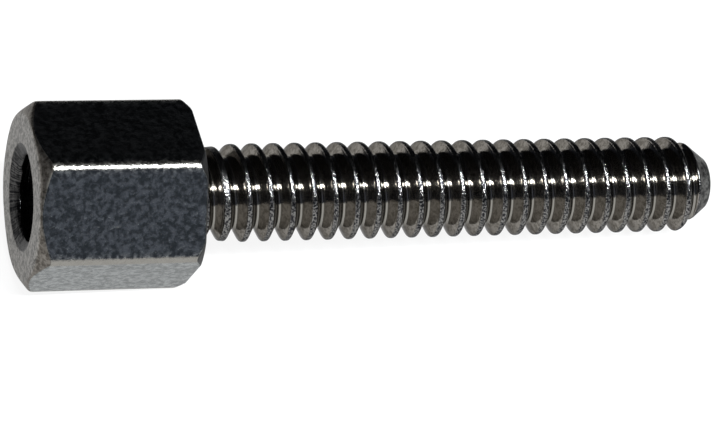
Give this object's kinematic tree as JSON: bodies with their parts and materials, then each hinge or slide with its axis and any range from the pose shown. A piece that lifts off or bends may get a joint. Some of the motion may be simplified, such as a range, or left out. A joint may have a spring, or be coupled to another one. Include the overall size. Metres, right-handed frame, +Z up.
{
  "type": "jack screw",
  "caption": "One-piece hexagon-headed screw with a fine right-hand thread and a tapped blind hole in its head, lying on its side.",
  "frame": {"origin": "middle of the bounding box's underside, on the table the screw lies on", "axes": "+X along the screw from the hex head to the tip, +Z up; the screw's own axis leans 3.77 degrees below +X, because it rests on a flat of the head and on the tip"},
  "size_m": [0.0206, 0.0054, 0.0051],
  "materials": {
    "steel": "dull nickel plate, mottled, with bright edges and thread roots"
  },
  "bodies": {
    "root": {"jack_screw": "steel"}
  },
  "joints": []
}
